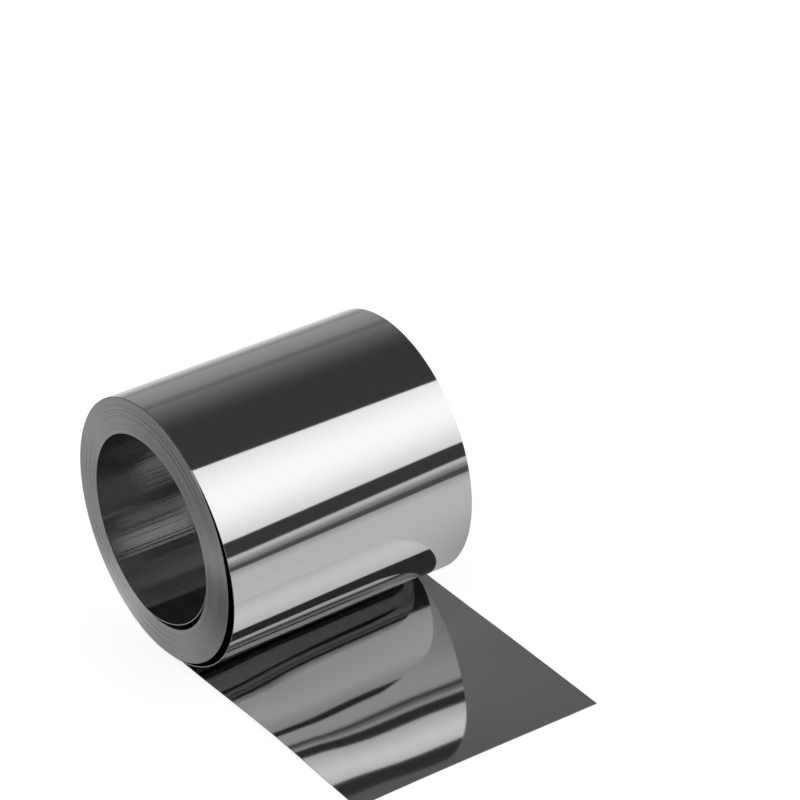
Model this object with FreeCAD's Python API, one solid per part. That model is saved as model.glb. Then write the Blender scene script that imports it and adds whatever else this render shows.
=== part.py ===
"""Roll of thin stainless steel strip lying on its side, with a loose outer turn and a flat free end."""

import math
import os

import FreeCAD
import Part

# Everything is in millimetres. The origin is on the bore's axis, half way along it.
# +Y runs along the bore, away from the side that is seen best. +X is the way the free end runs. +Z is up.

# Strip
STRIP_WIDTH = 100.0
STRIP_THICKNESS = 0.30

# Roll
BORE_DIAMETER = 72.0
TURNS = 43
END_DISH = 0.9  # how far the innermost turns stand out at the near end, and in at the far end

# The turns show on both ends as rings, a few turns to a ring, that stand unevenly.
RINGS = 8
RING_UNEVENNESS = 0.24

# The outermost turn's near edge lies this far behind the near end of the tight turns.
OUTER_TURN_STEP = 0.30

# Free end, which lies flat on the ground
TAIL_LENGTH = 115.0  # from under the axis to the cut end
TAIL_TURN = 3.0  # degrees, seen from above, away from the near end
TAIL_SETBACK = 1.7  # how far the tail's near edge lies behind the roll's near end, under the axis

# Loose outer turn: its gap at each end of the roll, between two places round it, in degrees up from +X.
# The strip leads off at an angle, so this turn is a cone and its gap closes towards the far end.
SLACK_NEAR = 3.2
SLACK_FAR = 0.1
SLACK_FROM = 60.0
SLACK_TO = -86.0

# The loose turn tucks down onto the tail over this many degrees, and is followed as far as this.
TUCK = 24.0
TUCKED_IN = -86.0

# Steps that the loose part is drawn in
LOOSE_STEPS = 12

BORE_RADIUS = BORE_DIAMETER / 2
OUTER_RADIUS = BORE_RADIUS + TURNS * STRIP_THICKNESS
NEAR_END = -STRIP_WIDTH / 2
GROUND = -OUTER_RADIUS

# The outermost turn is sunk by half its thickness into the turns that carry it.
CORE_RADIUS = OUTER_RADIUS - STRIP_THICKNESS / 2


def ring_edges():
    """Radii of the rings on the ends, from the bore out, each a whole number of turns."""
    edges = [BORE_RADIUS + round(TURNS * ring / RINGS) * STRIP_THICKNESS for ring in range(RINGS)]
    return edges + [CORE_RADIUS]


def ring_offset(ring):
    """How far a ring stands from the flat end, towards -Y where it is negative."""
    dish = -END_DISH * (1 - ring / (RINGS - 1))
    uneven = RING_UNEVENNESS * math.sin(2.4 * ring) * math.sin(math.pi * ring / (RINGS - 1))
    return dish + uneven


def wound_turns():
    """The tight turns and their bore: one stepped profile turned about the bore's axis."""
    edges = ring_edges()
    near = []
    far = []
    for ring in range(RINGS):
        y = NEAR_END + ring_offset(ring)
        for radius in (edges[ring], edges[ring + 1]):
            near.append(FreeCAD.Vector(radius, y, 0))
            far.append(FreeCAD.Vector(radius, y + STRIP_WIDTH, 0))
    outline = near + far[::-1]
    face = Part.Face(Part.makePolygon(outline + outline[:1]))
    return upright(face.revolve(FreeCAD.Vector(0, 0, 0), FreeCAD.Vector(0, 1, 0), 360))


def slack_share(angle):
    """Share of the widest gap under the loose turn, at an angle in degrees up from +X."""
    if not SLACK_TO < angle < SLACK_FROM:
        return 0.0
    along = (SLACK_FROM - angle) / (SLACK_FROM - SLACK_TO)
    return math.sin(math.pi * along) ** 2


def on_roll(radius, angle, y):
    """The point at this radius from the bore's axis, at an angle in degrees up from +X."""
    return FreeCAD.Vector(radius * math.cos(math.radians(angle)), y, radius * math.sin(math.radians(angle)))


def tight_edge(radius, y):
    """Arc of the part wound tight, from under the axis, up the back and over the top."""
    middle = (270.0 + SLACK_FROM) / 2
    places = [on_roll(radius, angle, y) for angle in (270.0, middle, SLACK_FROM)]
    return Part.Arc(*places).toShape()


def loose_edge(radius, gap, y):
    """Smooth curve of the loose part down the front, from the tight part until it is tucked in."""
    places = []
    for step in range(LOOSE_STEPS + 1):
        angle = SLACK_FROM + (TUCKED_IN - SLACK_FROM) * step / LOOSE_STEPS
        tuck = max(0.0, (TUCK - 90.0 - angle) / TUCK)
        sunk = 0.4 * STRIP_THICKNESS * tuck**2
        places.append(on_roll(radius - sunk + gap * slack_share(angle), angle, y))
    curve = Part.BSplineCurve()
    curve.interpolate(places)
    return curve.toShape()


def turn_profile(gap, y):
    """Outline of the outermost turn at one end of the roll, with the widest gap under it there."""
    inner = OUTER_RADIUS - STRIP_THICKNESS
    outside = [tight_edge(OUTER_RADIUS, y), loose_edge(OUTER_RADIUS, gap, y)]
    inside = [tight_edge(inner, y), loose_edge(inner, gap, y)]
    start = Part.makeLine(outside[0].Vertexes[0].Point, inside[0].Vertexes[0].Point)
    end = Part.makeLine(outside[1].Vertexes[-1].Point, inside[1].Vertexes[-1].Point)
    return Part.Wire([start] + outside + [end] + inside[::-1])


def tail_lead():
    """What the tail's slanting near edge takes off the outermost turn, from under the axis up the back."""
    lead = TAIL_SETBACK - OUTER_TURN_STEP
    run = lead / math.tan(math.radians(TAIL_TURN))
    edge = NEAR_END + TAIL_SETBACK
    below = GROUND - STRIP_THICKNESS
    corners = [
        FreeCAD.Vector(0, edge, below),
        FreeCAD.Vector(-run, edge - lead, below),
        FreeCAD.Vector(-run, edge - 2 * lead, below),
        FreeCAD.Vector(0, edge - 2 * lead, below),
    ]
    plan = Part.Face(Part.makePolygon(corners + corners[:1]))
    return plan.extrude(FreeCAD.Vector(0, 0, OUTER_RADIUS / 2))


def outer_turn():
    """The outermost turn: tight up the back and over the top, loose down the front, and under again."""
    near = turn_profile(SLACK_NEAR, NEAR_END + OUTER_TURN_STEP)
    far = turn_profile(SLACK_FAR, NEAR_END + OUTER_TURN_STEP + STRIP_WIDTH)
    return upright(Part.makeLoft([near, far], True, True)).cut(tail_lead())


def upright(solid):
    """The same solid with its faces looking outwards."""
    if solid.Volume < 0:
        solid.reverse()
    return solid


def tail():
    """The flat free end: a sheet on the ground, square cut, turned a little away from the near end."""
    drift = TAIL_LENGTH * math.tan(math.radians(TAIL_TURN))
    near = NEAR_END + TAIL_SETBACK
    corners = [
        FreeCAD.Vector(0, near, GROUND),
        FreeCAD.Vector(TAIL_LENGTH, near + drift, GROUND),
        FreeCAD.Vector(TAIL_LENGTH, near + drift + STRIP_WIDTH, GROUND),
        FreeCAD.Vector(0, near + STRIP_WIDTH, GROUND),
    ]
    sheet = Part.Face(Part.makePolygon(corners + corners[:1]))
    return sheet.extrude(FreeCAD.Vector(0, 0, STRIP_THICKNESS))


def strip_roll():
    """The whole strip, one piece of steel."""
    return wound_turns().fuse([outer_turn(), tail()])


def save(shape, name):
    """Write one solid as a STEP file."""
    os.makedirs("parts", exist_ok=True)
    shape.exportStep("parts/" + name + ".step")


roll = strip_roll()
print("solids", len(roll.Solids), "valid", roll.isValid(), "volume", round(roll.Volume))
save(roll.Solids[0], "strip_roll")
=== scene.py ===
import math
from functools import partial

import bpy
import numpy as np
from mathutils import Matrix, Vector


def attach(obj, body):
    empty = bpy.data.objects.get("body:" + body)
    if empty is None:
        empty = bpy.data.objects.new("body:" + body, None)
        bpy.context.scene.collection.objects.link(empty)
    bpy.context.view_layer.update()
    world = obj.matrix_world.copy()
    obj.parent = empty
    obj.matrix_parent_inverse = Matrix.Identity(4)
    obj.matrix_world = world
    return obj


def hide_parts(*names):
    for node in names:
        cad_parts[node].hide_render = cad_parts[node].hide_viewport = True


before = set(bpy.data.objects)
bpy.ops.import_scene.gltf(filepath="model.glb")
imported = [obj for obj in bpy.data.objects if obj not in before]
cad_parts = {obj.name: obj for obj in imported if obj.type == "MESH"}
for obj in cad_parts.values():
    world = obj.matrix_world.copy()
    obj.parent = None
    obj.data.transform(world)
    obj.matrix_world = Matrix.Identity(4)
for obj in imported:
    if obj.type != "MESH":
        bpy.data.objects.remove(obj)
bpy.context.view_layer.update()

# Sizes of the roll, in metres. The origin is on the bore's axis, half way along it.
WIDTH = 0.1
THICKNESS = 0.0003
BORE = 0.036
TURNS = 43
RADIUS = BORE + TURNS * THICKNESS
NEAR = -WIDTH / 2

# The innermost turns stand out this far at the near end, and in at the far end.
DISH = 0.0009

# How unevenly the edges of the tight turns stand and lean
UNEVENNESS = 0.00004
LEANING = 0.12

# Edge of one tight turn: places outwards from its inside face, and how far back each of them is rounded
TURN_EDGE = (
    (0.0, 0.0001),
    (0.00002, 0.00004),
    (0.00006, 0.000008),
    (0.00024, 0.000008),
    (0.00028, 0.00004),
)

# How far back the tight turns are rounded at the bore's rim and at their outside rim,
# and how far the outside rim lies under the outermost turn
BORE_RIM = 0.00003
OUTER_RIM = 0.00004
OUTER_RIM_DEPTH = 0.00001

# Slit edges of the loose strip: rounded back this far, over this share of the thickness at each face
SLIT_ROUNDING = 0.00003
SLIT_CORNER = 0.15

# Free end, which runs along the ground and turns a little away from the near end
TAIL_LENGTH = 0.115
TAIL_SETBACK = 0.0012
TAIL_SLOPE = math.tan(math.radians(3.0))

# Outermost turn: how far its near edge lies behind the near end, and how many degrees it goes round
OUTER_TURN_STEP = 0.0003
OUTER_TURN_ROUND = 358.0

# It is loose down the front: its gap at the near end and at the far end, and where the gap starts and ends.
# Angles are in degrees up from +X.
SLACK_NEAR = 0.0032
SLACK_FAR = 0.0005
SLACK_FROM = 60.0
SLACK_TO = -86.0

# It tucks in over its last degrees, by this share of its thickness.
TUCK = 24.0
TUCKED_SHARE = 0.9

# Loose part of the innermost turn: how far it stands off, where it starts and ends,
# and the share of its thickness that its ends are sunk by
INNER_LIFT = 0.00215
INNER_FROM = -5.0
INNER_TO = -100.0
INNER_SUNK = 0.6

# The free end bows up off the ground by about a millimetre, less along its far edge.
# Its slope in degrees, at shares of its length, along its near edge and along its middle
SLOPES_NEAR = (
    (0, 0),
    (0.12, 0),
    (0.3, 2.1),
    (0.42, 2.2),
    (0.58, 0),
    (0.685, -1.15),
    (0.722, -2.1),
    (0.76, -1.8),
    (0.864, -2.15),
    (1, -1.7),
)
SLOPES_MIDDLE = (
    (0, 0),
    (0.36, 0),
    (0.44, 3.1),
    (0.495, 2.6),
    (0.56, 0),
    (0.7, 0.1),
    (0.735, -0.15),
    (0.78, -0.1),
    (0.906, -1.15),
    (1, -1.5),
)
BOW_STEPS = 230
BOW_SMOOTHING = 12

# Shares of the strip's width: how far in the near edge's slopes reach, and where the bow starts to get lower
# towards the far edge and over how much it does. Last, the share of its height that is gone there
BOW_NEAR_REACH = 0.16
BOW_LOWER_FROM = 0.5
BOW_LOWER_OVER = 0.45
BOW_LOWER_BY = 0.7

# Points round the tight turns, the outermost turn and the loose part of the innermost,
# and steps along the free end and across the strip
ROUND_TIGHT = 180
ROUND_LOOSE = 720
ROUND_INNER = 120
TAIL_STEPS = 90
ACROSS = 12

# Light that the steel mirrors: how bright the room is, and the level of its dimmest parts
ROOM_BRIGHTNESS = 1.0926
DIM = 0.058


class Signal:
    """A value that a finish or a light is worked out from. Sums with it give new ones."""

    def __init__(self, shop, socket):
        self.shop = shop
        self.socket = socket

    def sum(self, operation, *values):
        return self.shop.add("ShaderNodeMath", {"operation": operation}, values)

    def __add__(self, other):
        return self.sum("ADD", self, other)

    def __radd__(self, other):
        return self.sum("ADD", other, self)

    def __sub__(self, other):
        return self.sum("SUBTRACT", self, other)

    def __rsub__(self, other):
        return self.sum("SUBTRACT", other, self)

    def __mul__(self, other):
        return self.sum("MULTIPLY", self, other)

    def __rmul__(self, other):
        return self.sum("MULTIPLY", other, self)

    def __truediv__(self, other):
        return self.sum("DIVIDE", self, other)

    def __rtruediv__(self, other):
        return self.sum("DIVIDE", other, self)

    def __pow__(self, other):
        return self.sum("POWER", self, other)


class Shop:
    """Where one finish or one light is put together."""

    def __init__(self, tree):
        self.tree = tree
        tree.nodes.clear()

    def add(self, kind, settings=None, sockets=(), out=0):
        node = self.tree.nodes.new(kind)
        for name, value in (settings or {}).items():
            setattr(node, name, value)
        pairs = sockets.items() if isinstance(sockets, dict) else enumerate(sockets)
        for key, value in pairs:
            if isinstance(value, Signal):
                self.tree.links.new(value.socket, node.inputs[key])
            else:
                node.inputs[key].default_value = value
        return Signal(self, node.outputs[out])

    def place(self):
        """The place on the object, in metres."""
        return self.add("ShaderNodeTexCoord", out="Object")

    def parts(self, vector):
        """The X, Y and Z of a place or a direction."""
        x = self.add("ShaderNodeSeparateXYZ", {}, (vector,), out="X")
        outputs = x.socket.node.outputs
        return x, Signal(self, outputs["Y"]), Signal(self, outputs["Z"])

    def turn(self, x, z):
        """The angle round the bore's axis, in degrees up from +X."""
        return z.sum("ARCTAN2", z, x) * (180 / math.pi)

    def length(self, vector):
        return self.add("ShaderNodeVectorMath", {"operation": "LENGTH"}, (vector,), out="Value")

    def stretched(self, vector, scale):
        return self.add("ShaderNodeMapping", {}, {"Vector": vector, "Scale": scale})

    def rise(self, value, low, high):
        """0 below low, 1 above high, and smooth between."""
        settings = {"interpolation_type": "SMOOTHSTEP"}
        return self.add("ShaderNodeMapRange", settings, {"Value": value, "From Min": low, "From Max": high})

    def patch(self, x, y, middle_x, middle_y, reach_x, reach_y):
        """1 in the middle of a soft oval on the ground, and less away from it."""
        across = (x - middle_x) / reach_x
        along = (y - middle_y) / reach_y
        far = across * across + along * along
        return 1 / (1 + far * far)

    def mirrored(self):
        """1 for what is seen in the steel, and 0 for the rest."""
        glossy = self.add("ShaderNodeLightPath", out="Is Glossy Ray")
        return glossy + self.add("ShaderNodeLightPath", out="Is Transmission Ray")

    def tone(self, level, blue=None):
        """A grey of this level, or one with its blue set apart."""
        blue = level if blue is None else blue
        return self.add("ShaderNodeCombineColor", {}, {"Red": level, "Green": level, "Blue": blue})

    def finish(self, sockets):
        """Ends in a surface with these values."""
        self.end(self.add("ShaderNodeBsdfPrincipled", {}, sockets))

    def end(self, shader, kind="ShaderNodeOutputMaterial"):
        node = self.tree.nodes.new(kind)
        self.tree.links.new(shader.socket, node.inputs["Surface"])


def new_material(name):
    material = bpy.data.materials.new(name)
    material.use_nodes = True
    return material, Shop(material.node_tree)


# Bright steel: its grey, how much bluer it is, its roughness, and what the fine lines of the drag add to that
STEEL_TONE = 0.54
STEEL_BLUER = 0.005
STEEL_ROUGHNESS = 0.035
DRAG_ROUGHNESS = 0.03
DRAG_SCALE = (30.0, 900.0, 30.0)

# In the nip, where the free end meets the roll, painted shade makes the steel darker by this much: from here
# to there in X, and below this in Z. Each comes in softly between two values. It is no real change in the
# steel.
NIP_PAINTED_SHADE = 0.07
NIP_FROM = (-0.005, 0.005)
NIP_TO = (0.022, 0.0295)
NIP_TOP = (-0.044, -0.039)


def bright_steel():
    """Bright rolled steel, close to a mirror, with a faint drag along the rolling direction and painted shade
    in the nip.
    """
    material, shop = new_material("bright rolled steel")
    place = shop.place()
    drag_sockets = {"Vector": shop.stretched(place, DRAG_SCALE), "Scale": 1.0, "Detail": 3.0}
    drag = shop.add("ShaderNodeTexNoise", {}, drag_sockets)
    x, _, z = shop.parts(place)
    # Painted shade: the steel's grey is darkened in the nip between the free end and the roll.
    nip_painted_shade = shop.rise(x, *NIP_FROM) * (1 - shop.rise(x, *NIP_TO)) * (1 - shop.rise(z, *NIP_TOP))
    tone = STEEL_TONE - NIP_PAINTED_SHADE * nip_painted_shade
    shop.finish(
        {
            "Base Color": shop.tone(tone, tone + STEEL_BLUER),
            "Metallic": 1.0,
            "Roughness": STEEL_ROUGHNESS + DRAG_ROUGHNESS * drag,
        }
    )
    return material


# Steel of the bore: its colour, how metallic it is, its roughness and what the creases add to that,
# and how closely the creases lie in X, Y and Z and how deep they are
BORE_COLOUR = (0.48, 0.48, 0.485, 1.0)
BORE_METALLIC = 0.94
BORE_ROUGHNESS = 0.06
CREASE_ROUGHNESS = 0.08
CREASE_SCALE = (110.0, 1.0, 110.0)
CREASE_DEPTH = 0.0003


def bore_steel():
    """The innermost turn's face, a little duller, with the long shallow creases of the winding's start."""
    material, shop = new_material("bore steel")
    creased = shop.stretched(shop.place(), CREASE_SCALE)
    crease_sockets = {"Vector": creased, "Scale": 1.0, "Detail": 4.0, "Roughness": 0.6}
    creases = shop.add("ShaderNodeTexNoise", {}, crease_sockets)
    bent = shop.add("ShaderNodeBump", {}, {"Strength": 1.0, "Distance": CREASE_DEPTH, "Height": creases})
    shop.finish(
        {
            "Base Color": BORE_COLOUR,
            "Metallic": BORE_METALLIC,
            "Roughness": BORE_ROUGHNESS + CREASE_ROUGHNESS * creases,
            "Normal": bent,
        }
    )
    return material


# How closely the tones of the slit edges change outwards from the bore's axis, to the metre
TONES_PER_METRE = 2300


def slit_edge(name, level, uneven, roughness):
    """The slit edges of the strip: duller than its faces, and from turn to turn a little paler or darker."""
    material, shop = new_material(name)
    radius = shop.length(shop.stretched(shop.place(), (1.0, 0.0, 1.0)))
    ring_sockets = {"W": TONES_PER_METRE * radius, "Scale": 1.0, "Detail": 2.0}
    rings = shop.add("ShaderNodeTexNoise", {"noise_dimensions": "1D"}, ring_sockets)
    tone = level + uneven * (rings - 0.5)
    shop.finish({"Base Color": shop.tone(tone), "Metallic": 1.0, "Roughness": roughness})
    return material


def linked(name, mesh):
    """An object with this name and mesh, in the scene."""
    piece = bpy.data.objects.new(name, mesh)
    bpy.context.scene.collection.objects.link(piece)
    return piece


def lofted(name, grid, closed_round, materials, bands, creases, caps=False):
    """A skin over a grid of points: rows are stations, columns go round each station's outline.

    bands gives the finish of the face after each column, and creases the columns that make a sharp line.
    """
    stations, points = grid.shape[:2]
    faces = []
    finishes = []
    rows = stations if closed_round else stations - 1
    for row in range(rows):
        here = row * points
        after = (row + 1) % stations * points
        for column in range(points):
            beside = (column + 1) % points
            faces.append((here + column, here + beside, after + beside, after + column))
            finishes.append(bands[column])
    if caps:
        faces.append(tuple(range(points))[::-1])
        faces.append(tuple((stations - 1) * points + column for column in range(points)))
        finishes += [1, 1]
    mesh = bpy.data.meshes.new(name)
    mesh.from_pydata(grid.reshape(-1, 3).tolist(), [], faces)
    mesh.polygons.foreach_set("material_index", finishes)
    mesh.shade_smooth()
    ends = np.empty(len(mesh.edges) * 2, dtype=np.int64)
    mesh.edges.foreach_get("vertices", ends)
    edge_rows, edge_columns = np.divmod(ends.reshape(-1, 2), points)
    sharp = (edge_columns[:, 0] == edge_columns[:, 1]) & np.isin(edge_columns[:, 0], creases)
    if caps:
        for cap_row in (0, stations - 1):
            sharp |= (edge_rows == cap_row).all(axis=1)
    mark = mesh.attributes.new("sharp_edge", "BOOLEAN", "EDGE")
    mark.data.foreach_set("value", sharp)
    mesh.validate()
    mesh.update()
    for material in materials:
        mesh.materials.append(material)
    return linked(name, mesh)


def slack_share(angle):
    """Share of the widest gap under the loose outer turn, at an angle in degrees up from +X."""
    if not SLACK_TO < angle < SLACK_FROM:
        return 0.0
    along = (SLACK_FROM - angle) / (SLACK_FROM - SLACK_TO)
    return math.sin(math.pi * along) ** 2


def strip_outline(faces_over, near, far):
    """The strip's cross-section at one station: two faces and two slit edges with small rounded corners.

    faces_over gives the outside and the inside face's place, in X and Z, at a share of the way across.
    """

    def at(depth, y):
        outside, inside = faces_over((y - near) / (far - near))
        place = np.array(outside) * (1 - depth) + np.array(inside) * depth
        return (place[0], y, place[1])

    flat = far - near - 2 * SLIT_ROUNDING
    across = [near + SLIT_ROUNDING + flat * step / ACROSS for step in range(ACROSS + 1)]
    outer = [at(0, y) for y in across]
    inner = [at(1, y) for y in reversed(across)]
    far_edge = [at(SLIT_CORNER, far), at(1 - SLIT_CORNER, far)]
    near_edge = [at(1 - SLIT_CORNER, near), at(SLIT_CORNER, near)]
    return outer + far_edge + inner + near_edge


# Round a station's outline, 0 is one of the strip's faces and 1 a slit edge. The creases lie between them.
OUTLINE_BANDS = [0] * ACROSS + [1] * 3 + [0] * ACROSS + [1] * 3
OUTLINE_CREASES = (0, ACROSS, ACROSS + 3, 2 * ACROSS + 3)


def faces_at(radius, angle):
    """The strip's outside and inside face, in X and Z, where its outside has this radius."""
    out = np.array((math.cos(math.radians(angle)), math.sin(math.radians(angle))))
    return out * radius, out * (radius - THICKNESS)


def bow_profile(slopes):
    """Heights along the free end from its slopes, smoothed so that reflections run evenly."""
    shares = np.linspace(0, 1, BOW_STEPS + 1)
    slope = np.interp(shares, *zip(*slopes))
    window = np.hanning(2 * BOW_SMOOTHING + 3)
    slope = np.convolve(np.pad(slope, BOW_SMOOTHING, mode="edge"), window[1:-1] / window.sum(), mode="valid")
    heights = np.cumsum(np.tan(np.radians(slope))) * TAIL_LENGTH / BOW_STEPS
    return shares, heights - heights[0]


BOW_NEAR = bow_profile(SLOPES_NEAR)
BOW_MIDDLE = bow_profile(SLOPES_MIDDLE)


def bow_at(x, share):
    """How far the free end stands off the ground, at a share of the way across it."""
    near = np.interp(x / TAIL_LENGTH, *BOW_NEAR)
    middle = np.interp(x / TAIL_LENGTH, *BOW_MIDDLE)
    nearness = math.exp(-((share / BOW_NEAR_REACH) ** 2))
    lower = min(1.0, max(0.0, (share - BOW_LOWER_FROM) / BOW_LOWER_OVER))
    left = 1 - BOW_LOWER_BY * lower * lower * (3 - 2 * lower)
    return max(0.0, (middle + (near - middle) * nearness) * left)


def tail_faces(x, share):
    """The free end's underside and top, in X and Z."""
    height = bow_at(x, share) - RADIUS
    return (x, height), (x, height + THICKNESS)


def turn_faces(angle, share):
    """The outermost turn's outside and inside face, in X and Z."""
    tuck = max(0.0, (TUCK - 90.0 - angle) / TUCK)
    sunk = TUCKED_SHARE * THICKNESS * tuck**2
    slack = SLACK_NEAR + (SLACK_FAR - SLACK_NEAR) * share
    return faces_at(RADIUS - sunk + slack * slack_share(angle), angle)


def outer_turn_and_tail():
    """One length of strip: along the ground, then once round the roll, loose down the front."""
    stations = []
    for step in range(TAIL_STEPS):
        x = TAIL_LENGTH * (1 - step / TAIL_STEPS)
        near = NEAR + TAIL_SETBACK + x * TAIL_SLOPE
        stations.append(strip_outline(partial(tail_faces, x), near, near + WIDTH))
    lead = TAIL_SETBACK - OUTER_TURN_STEP
    for step in range(ROUND_LOOSE + 1):
        wound = OUTER_TURN_ROUND * step / ROUND_LOOSE
        run = math.sin(math.radians(min(wound, 90.0))) * RADIUS
        near = NEAR + OUTER_TURN_STEP + max(0.0, lead - run * TAIL_SLOPE)
        stations.append(strip_outline(partial(turn_faces, 270.0 - wound), near, near + WIDTH))
    return np.array(stations)


def loose_inner_turn():
    """The innermost turn where it has come away from the bottom of the bore."""
    stations = []
    near = NEAR - DISH
    for step in range(ROUND_INNER + 1):
        along = step / ROUND_INNER
        angle = INNER_FROM + (INNER_TO - INNER_FROM) * along
        lift = INNER_LIFT * math.sin(math.pi * along)
        outside = BORE - lift + THICKNESS * (1 + INNER_SUNK * math.cos(math.pi * along) ** 2)
        faces = faces_at(outside, angle)
        stations.append(strip_outline(lambda share: faces, near, near + WIDTH))
    return np.array(stations)


def wound_turns():
    """The tight turns and the bore, with each turn's edge standing a little in or out on both ends."""
    chance = np.random.default_rng(7)
    turns = TURNS - 1
    offsets = chance.normal(0.0, UNEVENNESS, turns)
    leans = chance.normal(0.0, LEANING, turns)
    near = []
    far = []
    for turn in range(turns):
        radius = BORE + turn * THICKNESS
        stand = -DISH * (1 - turn / (turns - 1)) + offsets[turn]
        for out, back in TURN_EDGE:
            tilt = leans[turn] * (out - THICKNESS / 2)
            near.append((radius + out, max(NEAR - DISH, NEAR + stand + back + tilt)))
            far.append((radius + out, -NEAR + stand - back + tilt))
    rim = BORE + turns * THICKNESS - OUTER_RIM_DEPTH
    near[0] = (BORE, NEAR - DISH + BORE_RIM)
    far[0] = (BORE, -NEAR - DISH - BORE_RIM)
    near.append((rim, NEAR + OUTER_RIM))
    far.append((rim, -NEAR - OUTER_RIM))
    outline = near + far[::-1]
    bands = [1] * (len(near) - 1) + [0] + [1] * (len(far) - 1) + [2]
    creases = (0, len(near) - 1, len(near), len(outline) - 1)
    radii, depths = np.array(outline).T
    angles = np.linspace(0, 2 * math.pi, ROUND_TIGHT, endpoint=False)
    grid = np.empty((ROUND_TIGHT, len(outline), 3))
    grid[:, :, 0] = np.cos(angles)[:, None] * radii
    grid[:, :, 1] = depths
    grid[:, :, 2] = np.sin(angles)[:, None] * radii
    return grid, bands, creases


steel = bright_steel()
edge_steel = slit_edge("slit edge of the tight turns", 0.335, 0.36, 0.33)
clean_edge = slit_edge("slit edge of the loose turn", 0.3, 0.0, 0.2)

grid, bands, creases = wound_turns()
core = lofted("wound_turns", grid, True, (steel, edge_steel, bore_steel()), bands, creases)

loose = {"closed_round": False, "bands": OUTLINE_BANDS, "creases": OUTLINE_CREASES, "caps": True}
outer = lofted("outer_turn_and_tail", outer_turn_and_tail(), materials=(steel, clean_edge), **loose)
inner = lofted("loose_inner_turn", loose_inner_turn(), materials=(steel, edge_steel), **loose)

for piece in (core, outer, inner):
    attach(piece, "root")
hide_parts("strip_roll")

# The floor as the steel mirrors it: its level far away, and a pool of light round the roll that adds to it
FLOOR_LEVEL = 0.345
POOL_LEVEL = 0.755
POOL_REACH = 0.35
POOL_SHARPNESS = 2.5

# Shaded patches of the floor beyond the roll's far end, before its near end, round the cut end
# and at its back: middle and reach in X and Y, and the share of the light that is gone
SHADED_PATCHES = (
    (-0.02, 0.11, 0.08, 0.075, 0.96),
    (0.03, -0.11, 0.1, 0.055, 0.9),
    (0.14, 0.04, 0.12, 0.14, 0.2),
    (-0.3, -0.07, 0.13, 0.1, 0.7),
)

# Lit patch at the foot of the near end: middle and reach, and what it adds
LIT_PATCH = (-0.038, -0.056, 0.022, 0.02)
LIT_PATCH_LEVEL = 0.95

# The pale floor ends in front of the roll, along a slanting line. Beyond it the ground is dark, then paler.
EDGE_SLANT = 1.7
EDGE_TURNS_AT = 0.3
EDGE = (0.48, 0.6)
BEYOND_LEVEL = 0.105
BEYOND_PALER = 0.31
BEYOND_RISE = (1.0, 2.6)

# The floor as it is seen directly: what it glows by itself, and how much of the room's light it throws back
FLOOR_GLOW = 0.78
FLOOR_TONE = 0.3

# How far the floor reaches each way, and how far it lies under the roll
FLOOR_REACH = 6.0
FLOOR_GAP = 0.00005


def pale_floor():
    """Plain pale floor in a pool of light, white when seen directly and keeping the roll's shadow."""
    material, shop = new_material("pale floor")
    place = shop.place()
    x, y, _ = shop.parts(place)
    level = FLOOR_LEVEL + POOL_LEVEL / (1 + (shop.length(place) / POOL_REACH) ** POOL_SHARPNESS)
    for *oval, gone in SHADED_PATCHES:
        level = level * (1 - gone * shop.patch(x, y, *oval))
    level = level + LIT_PATCH_LEVEL * shop.patch(x, y, *LIT_PATCH)
    edge = shop.rise(x + EDGE_SLANT * (y - EDGE_TURNS_AT), *EDGE)
    beyond = BEYOND_LEVEL + BEYOND_PALER * shop.rise(x, *BEYOND_RISE)
    level = level * (1 - edge) + beyond * edge
    seen_directly = shop.add("ShaderNodeLightPath", out="Is Camera Ray")
    glow = FLOOR_GLOW * seen_directly + ROOM_BRIGHTNESS * level * shop.mirrored()
    shop.finish(
        {
            "Base Color": shop.tone(FLOOR_TONE * seen_directly),
            "Roughness": 1.0,
            "Specular IOR Level": 0.0,
            "Emission Color": shop.tone(glow),
            "Emission Strength": 1.0,
        }
    )
    return material


def flat_sheet(name, corners, material):
    """A sheet with four corners."""
    mesh = bpy.data.meshes.new(name)
    mesh.from_pydata(corners, [], [(0, 1, 2, 3)])
    mesh.materials.append(material)
    return linked(name, mesh)


def floor():
    """The floor, a hair under the roll."""
    height = -RADIUS - FLOOR_GAP
    sides = ((-1, -1), (1, -1), (1, 1), (-1, 1))
    corners = [(x * FLOOR_REACH, y * FLOOR_REACH, height) for x, y in sides]
    return flat_sheet("floor", corners, pale_floor())


floor()

# The soft panel's light starts and ends at these angles, in degrees up from +X round the bore's axis.
# Along Y its upper end comes down by so many degrees to the metre, from the place where it is as given.
PANEL_START = (18.2, 19.4)
PANEL_END = (72.6, 74.4)
PANEL_END_SLANT = 40.0
PANEL_END_AT = 1.572

# Its level, and the hump of light across its middle, which gets brighter, and then dimmer by this share
PANEL_LEVEL = 0.86
HUMP_LEVEL = 0.68
HUMP_UP = (6.0, 48.0)
HUMP_DOWN = (50.0, 84.0)
HUMP_DIMMER = 0.6

# The pale strip low on it: its level at the ground, what two rises add to that, and where it ends
LOW_STRIP_LEVEL = 0.05
LOW_STRIP_RISES = ((0.21, -2.2, 0.2), (0.44, 0.2, 5.4))
LOW_STRIP_END = (5.7, 7.6)

# The sheet that carries both: the middle of its lower and of its upper edge, and how far it reaches along Y
PANEL_LOW = Vector((0.79, 1.8, -0.0489))
PANEL_HIGH = Vector((0.9, 1.8, 3.3))
PANEL_REACH = Vector((0.0, 2.2, 0.0))


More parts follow.
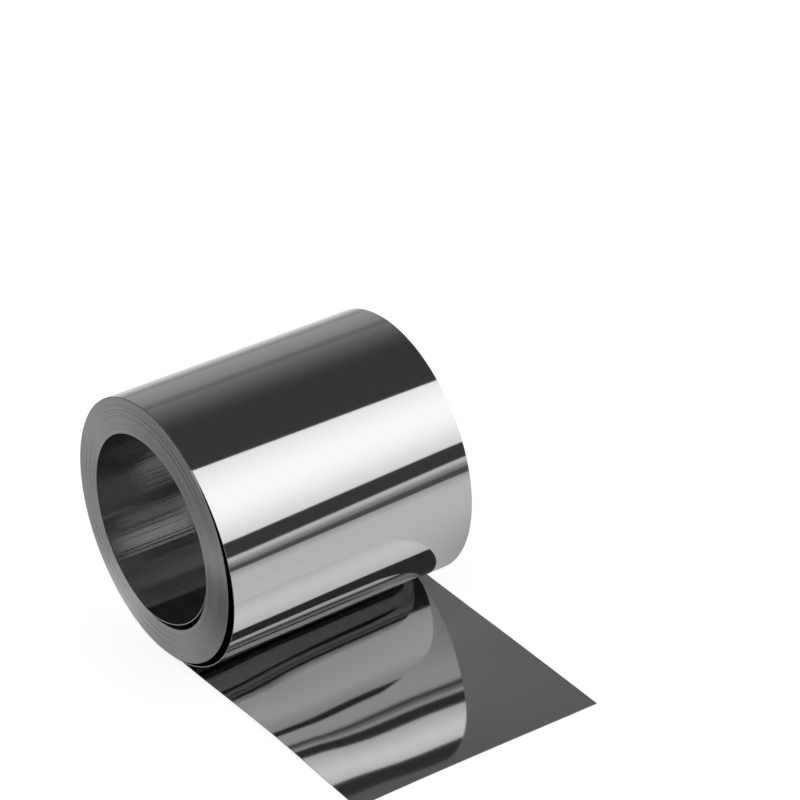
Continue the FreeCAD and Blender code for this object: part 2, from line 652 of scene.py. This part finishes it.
def panel_light():
    """The light of the tall soft panel, brightest across its middle, and of the pale strip low on it."""
    material, shop = new_material("soft light panel")
    x, y, z = shop.parts(shop.place())
    turn = shop.turn(x, z)
    ended = shop.rise(turn + PANEL_END_SLANT * (y - PANEL_END_AT), *PANEL_END)
    lit = shop.rise(turn, *PANEL_START) * (1 - ended)
    hump = shop.rise(turn, *HUMP_UP) * (1 - HUMP_DIMMER * shop.rise(turn, *HUMP_DOWN))
    strip = LOW_STRIP_LEVEL
    for added, low, high in LOW_STRIP_RISES:
        strip = strip + added * shop.rise(turn, low, high)
    strip = strip * (1 - shop.rise(turn, *LOW_STRIP_END))
    level = ROOM_BRIGHTNESS * (DIM + strip + lit * (PANEL_LEVEL + HUMP_LEVEL * hump))
    shop.end(shop.add("ShaderNodeEmission", {}, {"Color": shop.tone(level), "Strength": 1.0}))
    return material


def panel():
    """The tall soft panel in front of the roll, from the floor up, shown in the steel only."""
    corners = [
        PANEL_LOW - PANEL_REACH,
        PANEL_LOW + PANEL_REACH,
        PANEL_HIGH + PANEL_REACH,
        PANEL_HIGH - PANEL_REACH,
    ]
    piece = flat_sheet("soft_light_panel", corners, panel_light())
    piece.visible_camera = False
    piece.visible_diffuse = False
    piece.visible_shadow = False
    return piece


panel()

# Far parts of the room that the steel mirrors, by the angle round the bore's axis, in degrees up from +X:
# a pale strip low in front, and the wall behind with a thin darker line across it
FAR_STRIP_LEVEL = 0.26
FAR_STRIP_PALER = 0.44
FAR_STRIP_RISE = (-1.0, 4.5)
FAR_STRIP_END = (4.8, 6.8)
WALL_LEVEL = 0.35
WALL_RISE = (110.5, 177.0)
LINE_START = (144.5, 148.0)
LINE_END = (150.5, 156.0)
LINE_DARKER = 0.3

# The share of its light that the wall has on the near end's side, and the directions along Y between which it
# gets the rest
NEAR_SIDE_SHARE = 0.5
NEAR_SIDE_RISE = (-0.3, 0.3)


def studio():
    """The room round the roll: a dim ceiling, a pale strip low in front and a paler wall behind."""
    world = bpy.data.worlds.new("studio")
    bpy.context.scene.world = world
    world.use_nodes = True
    shop = Shop(world.node_tree)
    x, y, z = shop.parts(shop.add("ShaderNodeTexCoord", out="Generated"))
    turn = shop.turn(x, z)
    strip = FAR_STRIP_LEVEL + FAR_STRIP_PALER * shop.rise(turn, *FAR_STRIP_RISE)
    strip = strip * (1 - shop.rise(turn, *FAR_STRIP_END))
    line = shop.rise(turn, *LINE_START) * (1 - shop.rise(turn, *LINE_END))
    side = NEAR_SIDE_SHARE + (1 - NEAR_SIDE_SHARE) * shop.rise(y, *NEAR_SIDE_RISE)
    wall = shop.rise(turn, *WALL_RISE) * (1 - LINE_DARKER * line) * side
    room = ROOM_BRIGHTNESS * (DIM + strip * (1 - wall) + WALL_LEVEL * wall)
    mirrored = shop.mirrored()
    level = (1 - mirrored) + mirrored * room
    light = shop.add("ShaderNodeBackground", {}, {"Color": shop.tone(level), "Strength": 1.0})
    shop.end(light, "ShaderNodeOutputWorld")


studio()

# The photograph's viewing angle: degrees round from -Y towards +X and degrees up, the place looked at,
# and how far back from it
VIEW_ROUND = 55.53
VIEW_UP = 33.56
LOOKED_AT = Vector((-0.04963, 0.0878, -0.02445))
VIEW_DISTANCE = 1.58778

# Length of the lens and width of the picture behind it, in millimetres, and how far it sees, in metres
LENS_LENGTH = 192.06
LENS_WIDTH = 36.0
LENS_REACH = 50.0


def camera():
    """The photograph's viewing angle, through a long lens."""
    lens = bpy.data.cameras.new("camera")
    lens.sensor_width = LENS_WIDTH
    lens.lens = LENS_LENGTH
    lens.clip_end = LENS_REACH
    azimuth = math.radians(VIEW_ROUND)
    height = math.radians(VIEW_UP)
    level = math.cos(height)
    back = Vector((math.sin(azimuth) * level, -math.cos(azimuth) * level, math.sin(height)))
    view = linked("camera", lens)
    view.location = LOOKED_AT + back * VIEW_DISTANCE
    view.rotation_euler = back.to_track_quat("Z", "Y").to_euler()
    bpy.context.scene.camera = view


camera()
bpy.context.scene.view_settings.view_transform = "Standard"

# How many times over the steel mirrors itself, which it does between the free end and the roll
MIRRORED_TIMES = 16
bpy.context.scene.cycles.max_bounces = MIRRORED_TIMES
bpy.context.scene.cycles.glossy_bounces = MIRRORED_TIMES
